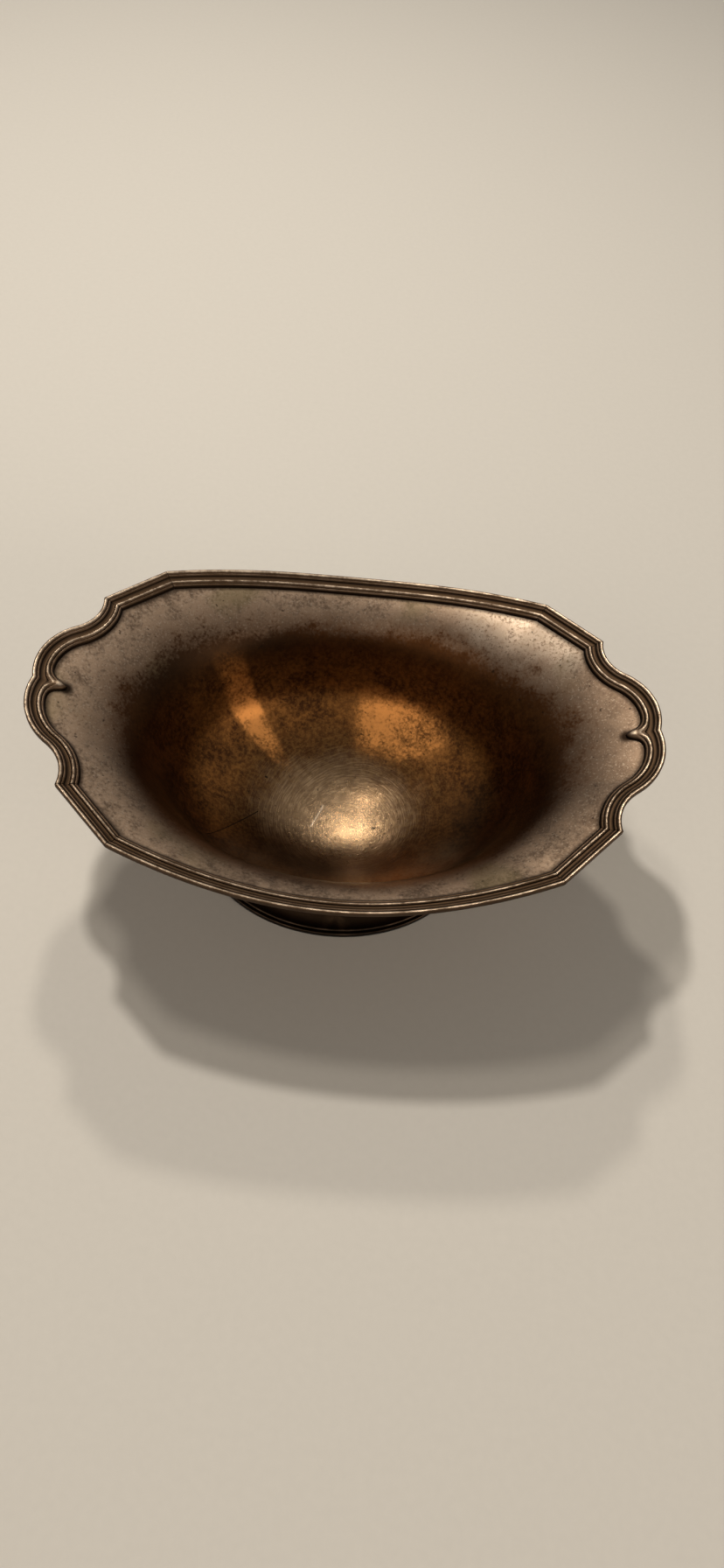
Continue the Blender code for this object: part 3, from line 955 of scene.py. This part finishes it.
def spline_weights(place, count):
    """Weights of a clamped cubic B-spline's control points at a share of it, short of 1."""
    spans = count - 3
    knots = [0] * 3 + list(range(spans + 1)) + [spans] * 3
    here = place * spans
    weights = [1.0 if low <= here < high else 0.0 for low, high in zip(knots, knots[1:])]
    for degree in (1, 2, 3):
        for index in range(len(weights) - degree):
            low, high = knots[index], knots[index + degree]
            next_low, next_high = knots[index + 1], knots[index + degree + 1]
            fall = (here - low) / (high - low) if high > low else 0
            rise = (next_high - here) / (next_high - next_low) if next_high > next_low else 0
            weights[index] = fall * weights[index] + rise * weights[index + 1]
    return weights[:count]


def oval(long, wide, turn, height):
    """A point of a level oval."""
    return Vector((long / 2 * cos(turn), wide / 2 * sin(turn), height))


def well_controls(rim, body, start, turn):
    """Control points of the body's section, from the mount's inner edge to the middle."""
    end_share = cos(turn) ** 2
    shoulder_height = body.shoulder_side + (body.shoulder_end - body.shoulder_side) * end_share
    flange_height = rim.flange_height(body, end_share)
    return [
        start,
        oval(body.flange_length, body.flange_width, turn, flange_height),
        oval(body.shoulder_length, body.shoulder_width, turn, shoulder_height),
        oval(body.wall_length, body.wall_width, turn, body.wall_height),
        oval(body.floor_length, body.floor_width, turn, body.floor_edge),
        oval(body.dish_length, body.dish_width, turn, body.floor_height),
        Vector((0, 0, body.floor_height)),
    ]


def well_point(controls, place):
    """Point of the body's section at a share of its way down."""
    weights = spline_weights(place, len(controls))
    return sum((point * weight for point, weight in zip(controls, weights)), Vector((0, 0, 0)))


def body_section(scene, rim, run, place):
    """Points of the body's top face at one place, from the edge to just short of the middle."""
    mount = scene.bowl_mount
    body = scene.bowl_body
    edge_inset = mount.lip + GAP + body.sheet * mount.slope
    height = rim.edge_height(rim.point(run, place, 0).x)
    height -= rim.notch_dip(run, place, body.notch_dip)
    edge = rim.point(run, place, edge_inset)
    inner = rim.point(run, place, mount.width)
    start = Vector((*inner, height - mount.slope * mount.width))
    turn = atan2(
        start.y / (rim.half_width - mount.width),
        start.x / (rim.sizes.length / 2 - mount.width),
    )
    controls = well_controls(rim, body, start, turn)
    section = [Vector((*edge, height - mount.slope * edge_inset))]
    section += [well_point(controls, down) for down in spread(scene.bowl_fineness.well)[:-1]]
    return section


class BOWL_OT_body(Operator):
    """Builds the pressed body: its flange, its well and its underside."""

    bl_idname = "bowl.body"
    bl_label = "Body"

    def execute(self, context):
        scene = context.scene
        rim = outline(scene)
        fineness = scene.bowl_fineness
        stations = []
        for run in ("side", "corner", "hollow", "lobe"):
            stations += [(run, place) for place in spread(getattr(fineness, run))[:-1]]
        stations.append(("lobe", 1.0))
        quarter = [body_section(scene, rim, run, place) for run, place in stations]
        around = []
        for side_x, side_y in ((1, 1), (1, -1), (-1, -1), (-1, 1)):
            turned = [[mirrored(point, side_x, side_y) for point in loop] for loop in quarter]
            if side_x != side_y:
                turned.reverse()
            around += turned[:-1]
        marks = [0.0] + spread(fineness.well)[:-1]
        middle = (0, 0, scene.bowl_body.floor_height)
        mesh = loft("pressed_body", around, False, True, [marks] * len(around), "depth", middle)
        finishes = ["tarnished_body", "dark_underside"]
        piece = add_piece("pressed_body", mesh, finishes, "bowl_body")
        add_sheet(piece, scene.bowl_body.sheet, back_material=1)
        return {"FINISHED"}


# ---- The foot ----

SKIRT_WEAR = 6  # power that keeps the skirt's wear near its lower edge
WIRE_RUBBED = 0.4  # how rubbed the wire is beside its upper edge
WIRE_LOWER_STEPS = 4  # faces round each edge of the wire
WIRE_UPPER_STEPS = 8


def foot_piece(scene, name, node, rows, marks, closed):
    """A piece of the foot, from its section's rows of length, width and height and their marks."""
    count = scene.bowl_fineness.foot
    turns = [2 * pi * step / count for step in range(count)]
    loops = [[oval(long, wide, turn, height) for long, wide, height in rows] for turn in turns]
    mesh = loft(name, loops, closed, True, [marks] * len(loops), "crest")
    return add_piece(name, mesh, ["dark_and_shaded_foot"], node)


class BOWL_OT_foot_skirt(Operator):
    """Builds the hollow sweep from the base wire in and up to the body."""

    bl_idname = "bowl.foot_skirt"
    bl_label = "Foot skirt"

    def execute(self, context):
        scene = context.scene
        foot = scene.bowl_foot
        sheet = scene.bowl_body.sheet
        low = (foot.length - 2 * foot.ledge, foot.width - 2 * foot.ledge, foot.wire_height + sheet)
        high = (foot.seat_length, foot.seat_width, foot.seat_height)
        rows = []
        marks = []
        for rise in reversed(spread(scene.bowl_fineness.skirt)):
            inward = sin(pi / 2 * rise)
            parts = (inward, inward, 1 - cos(pi / 2 * rise))
            rows.append([here + (end - here) * part for here, end, part in zip(low, high, parts)])
            marks.append((1 - rise) ** SKIRT_WEAR)
        piece = foot_piece(scene, "swept_skirt", "foot_skirt", rows, marks, False)
        add_sheet(piece, sheet)
        return {"FINISHED"}


class BOWL_OT_base_wire(Operator):
    """Builds the ring that stands on the table."""

    bl_idname = "bowl.base_wire"
    bl_label = "Base wire"

    def execute(self, context):
        scene = context.scene
        foot = scene.bowl_foot
        profile = [(foot.wire_width, foot.wire_height, 0.0), (foot.wire_width, 0, 0.0)]
        soft = foot.wire_round / 2
        for turn in spread(WIRE_LOWER_STEPS, 0, pi / 2):
            inset = soft * (1 - sin(turn))
            profile.append((inset, soft * (1 - cos(turn)), WIRE_RUBBED))
        for turn in spread(WIRE_UPPER_STEPS, 0, pi / 2):
            inset = foot.wire_round * (1 - cos(turn))
            height = foot.wire_height - foot.wire_round * (1 - sin(turn))
            profile.append((inset, height, WIRE_RUBBED + (1 - WIRE_RUBBED) * sin(2 * turn)))
        rows = [(foot.length - 2 * inset, foot.width - 2 * inset, z) for inset, z, _ in profile]
        marks = [rubbed for _, _, rubbed in profile]
        foot_piece(scene, "base_wire", "foot_base_wire", rows, marks, True)
        return {"FINISHED"}


# ---- The studio ----

CAMERA_PLACE = (-0.00454, -0.33737, 0.51977)
CAMERA_TURN = radians(-2.604)
CAMERA_TILT = radians(54.151)
CAMERA_ROLL = radians(6.903)
LENS = 25.11  # mm, on the 36 mm long side of an image of 828 by 1792
FLOOR_COLOUR = (0.58, 0.545, 0.49)
FLOOR_SHADE = 0.94  # of the floor's darker grains
FLOOR_GRAIN = 0.004
FLOOR_SIZE = 8.0
FLOOR_FADE = (1.3, 3.6)  # distances between which the floor turns into the surround
HORIZON_COLOUR = (0.56, 0.54, 0.51)
SKY_COLOUR = (1.0, 0.98, 0.95)
SKY_TOP = 0.9  # sine of the height at which the surround is at its brightest
SURROUND_LIGHT = 0.13  # share of the surround that lights what isn't glossy
DARK_CARD = (0.0, -0.62, 0.785)  # direction of the dark card that the back of the well shows
CARD_EDGE = (0.60, 0.95)  # cosines between which it fades in
CARD_SHARE = 0.20
CARD_COLOUR = (0.03, 0.03, 0.03)
LAMP_TARGET = Vector((0, 0, 0.05))

# Lamps: name, place, size, power in watts, colour and whether the metal shows them
LAMPS = (
    ("shade", (-0.46, 0.66, 1.76), 0.12, 18, (1.0, 0.95, 0.88), False),
    ("key", (-0.23, 1.16, 1.46), 0.13, 10, (1.0, 0.93, 0.82), True),
    ("high", (-0.48, 0.40, 1.80), 0.20, 6, (1.0, 0.93, 0.83), True),
    ("soft_left", (-0.68, -1.24, 0.95), 1.10, 5, (1.0, 0.90, 0.78), True),
    ("soft_right", (1.28, -0.93, 0.66), 0.85, 8, (1.0, 0.90, 0.78), True),
)


def add_camera(scene):
    """The camera of the photograph's view: turned, tilted down from level and rolled."""
    turned = Matrix.Rotation(CAMERA_TURN, 3, "Z") @ Matrix.Rotation(pi / 2 - CAMERA_TILT, 3, "X")
    axes = turned @ Matrix.Rotation(CAMERA_ROLL, 3, "Z")
    camera = add_object("camera", bpy.data.cameras.new("camera"))
    camera.data.lens = LENS
    camera.location = CAMERA_PLACE
    camera.rotation_euler = axes.to_euler()
    scene.camera = camera


def add_lamp(name, place, size, power, tint, shown):
    """A round lamp turned to the bowl."""
    lamp = bpy.data.lights.new(name, "AREA")
    lamp.shape = "DISK"
    lamp.size = size
    lamp.energy = power
    lamp.color = tint
    item = add_object(name, lamp)
    item.location = place
    toward = LAMP_TARGET - Vector(place)
    item.rotation_euler = toward.to_track_quat("-Z", "Y").to_euler()
    item.visible_glossy = shown


def add_floor():
    """A wide pale floor that runs into the surround."""
    mesh = bpy.data.meshes.new("floor")
    half = FLOOR_SIZE / 2
    corners = [(-half, -half, 0), (half, -half, 0), (half, half, 0), (-half, half, 0)]
    mesh.from_pydata(corners, [], [(0, 1, 2, 3)])
    material = bpy.data.materials.new("pale_floor")
    nodes = Nodes(material)
    grain = nodes.noise(FLOOR_GRAIN)
    tint = grain.mix(FLOOR_COLOUR, tuple(FLOOR_SHADE * part for part in FLOOR_COLOUR))
    near = nodes.node("BsdfPrincipled", sockets={"Base Color": tint, "Roughness": 0.9})
    far = nodes.node("Emission", sockets={"Color": rgba(HORIZON_COLOUR)})
    away = nodes.vector("LENGTH", nodes.plan(), output=1)
    shader = nodes.node("MixShader", sockets={0: away.between(*FLOOR_FADE), 1: near, 2: far})
    nodes.node("OutputMaterial", sockets={"Surface": shader})
    mesh.materials.append(material)
    add_object("floor", mesh)


def add_world(scene):
    """A pale surround, brighter overhead, that metal shows and that lights the rest softly."""
    world = bpy.data.worlds.new("surround")
    scene.world = world
    nodes = Nodes(world)
    way = nodes.node("TexCoord", output="Generated")
    up = nodes.node("SeparateXYZ", sockets={0: way}, output="Z")
    card = nodes.vector("DOT_PRODUCT", way, DARK_CARD, 1).between(*CARD_EDGE) * CARD_SHARE
    sky = up.between(0.0, SKY_TOP).mix(HORIZON_COLOUR, SKY_COLOUR)
    sky = card.mix(sky, CARD_COLOUR)
    shown = nodes.node("Background", sockets={"Color": sky, "Strength": 1.0})
    soft = nodes.node("Background", sockets={"Color": sky, "Strength": SURROUND_LIGHT})
    path = nodes.node("LightPath", output="Is Camera Ray")
    seen = path.larger(path.output("Is Glossy Ray")).larger(path.output("Is Transmission Ray"))
    shader = nodes.node("MixShader", sockets={0: seen, 1: soft, 2: shown})
    nodes.node("OutputWorld", sockets={"Surface": shader})


class BOWL_OT_stage(Operator):
    """Adds the floor, the lamps, the surround and the camera."""

    bl_idname = "bowl.stage"
    bl_label = "Stage"

    def execute(self, context):
        scene = context.scene
        scene.view_settings.view_transform = "Standard"
        add_floor()
        add_world(scene)
        add_camera(scene)
        for lamp in LAMPS:
            add_lamp(*lamp)
        return {"FINISHED"}


# ---- The add-on ----

OPERATORS = (
    BOWL_OT_body,
    BOWL_OT_rim_sides,
    BOWL_OT_rim_corners,
    BOWL_OT_rim_scrolls,
    BOWL_OT_foot_skirt,
    BOWL_OT_base_wire,
    BOWL_OT_stage,
)


class BOWL_PT_panel(Panel):
    """Lists the bowl's sizes, finishes and build steps."""

    bl_idname = "BOWL_PT_panel"
    bl_label = "Oval footed bowl"
    bl_space_type = "VIEW_3D"
    bl_region_type = "UI"
    bl_category = "Bowl"

    def draw(self, context):
        for operator in OPERATORS:
            self.layout.operator(operator.bl_idname)
        for group in GROUPS:
            box = self.layout.box()
            settings = getattr(context.scene, group)
            for name in settings.__annotations__:
                box.prop(settings, name)


CLASSES = (*GROUPS.values(), *OPERATORS, BOWL_PT_panel)


def register():
    for kind in CLASSES:
        bpy.utils.register_class(kind)
    for name, kind in GROUPS.items():
        setattr(bpy.types.Scene, name, PointerProperty(type=kind))


def unregister():
    for name in GROUPS:
        delattr(bpy.types.Scene, name)
    for kind in reversed(CLASSES):
        bpy.utils.unregister_class(kind)


def run_operator(operator):
    """Calls an operator through bpy.ops, as its button does."""
    area, name = operator.bl_idname.split(".")
    getattr(getattr(bpy.ops, area), name)()


def main():
    register()
    for operator in OPERATORS:
        run_operator(operator)


if __name__ == "__main__":
    main()
